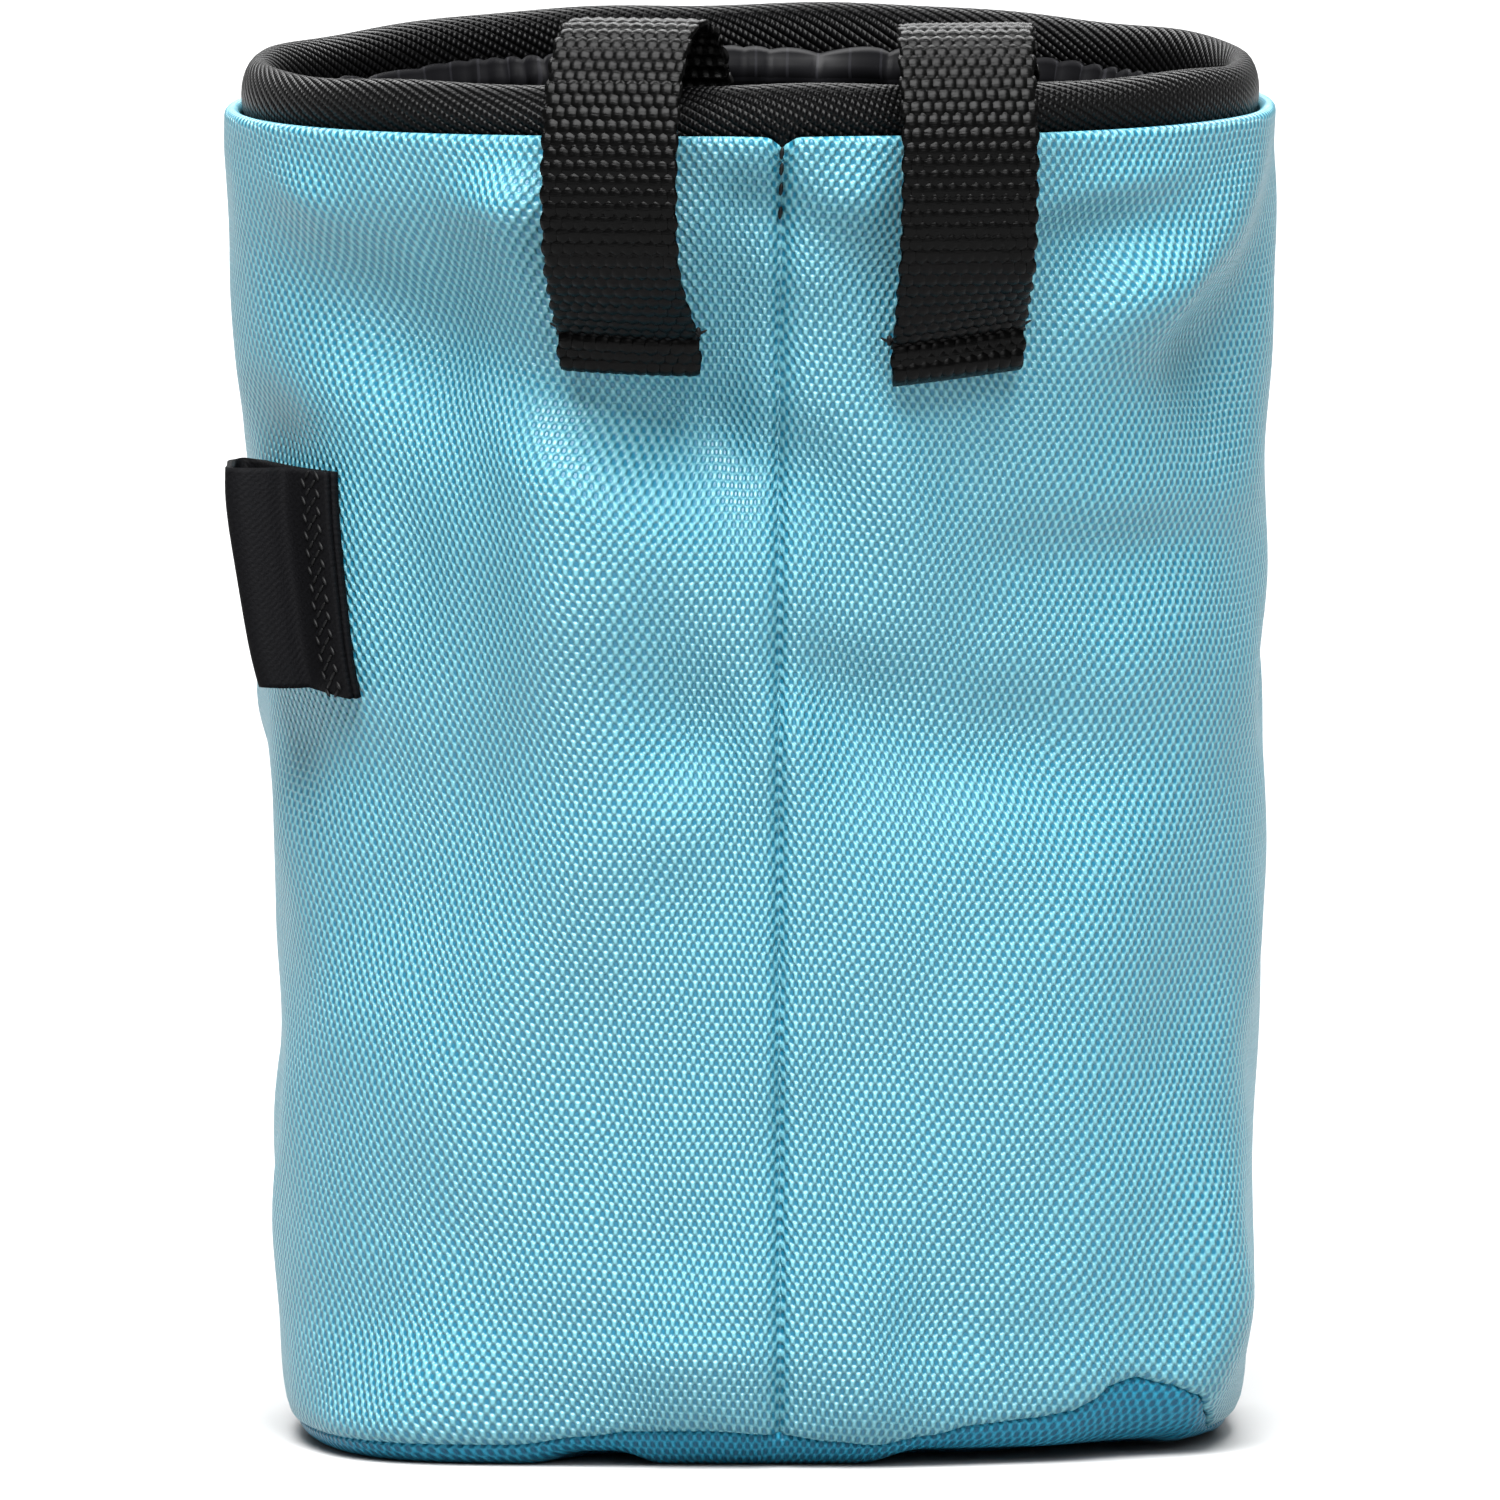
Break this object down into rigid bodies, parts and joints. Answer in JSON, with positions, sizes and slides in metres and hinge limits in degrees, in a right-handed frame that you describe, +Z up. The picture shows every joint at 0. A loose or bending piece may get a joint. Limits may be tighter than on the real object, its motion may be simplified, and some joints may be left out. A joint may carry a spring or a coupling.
{
  "type": "climbing chalk bag",
  "caption": "Soft upright chalk bag with a padded round rim, a gathered lining, belt loops on the back and an elastic brush loop on the side.",
  "frame": {"origin": "on the floor, under the middle of the base", "axes": "+Z up through the mouth, -Y towards the side with the belt loops, +X to the right of someone who faces that side"},
  "size_m": [0.1301, 0.1262, 0.178],
  "materials": {
    "blue_polyester": "coarse plain weave with a slight sheen",
    "black_tape": "twill tape",
    "grey_ripstop": "thin ripstop, gathered",
    "black_webbing": "ribbed webbing",
    "black_elastic": "matte woven elastic"
  },
  "bodies": {
    "root": {"body_panel": "blue_polyester", "base_panel": "blue_polyester", "rim_binding": "black_tape", "lining": "grey_ripstop", "belt_loop_left": "black_webbing", "belt_loop_right": "black_webbing", "brush_loop": "black_elastic"}
  },
  "joints": []
}
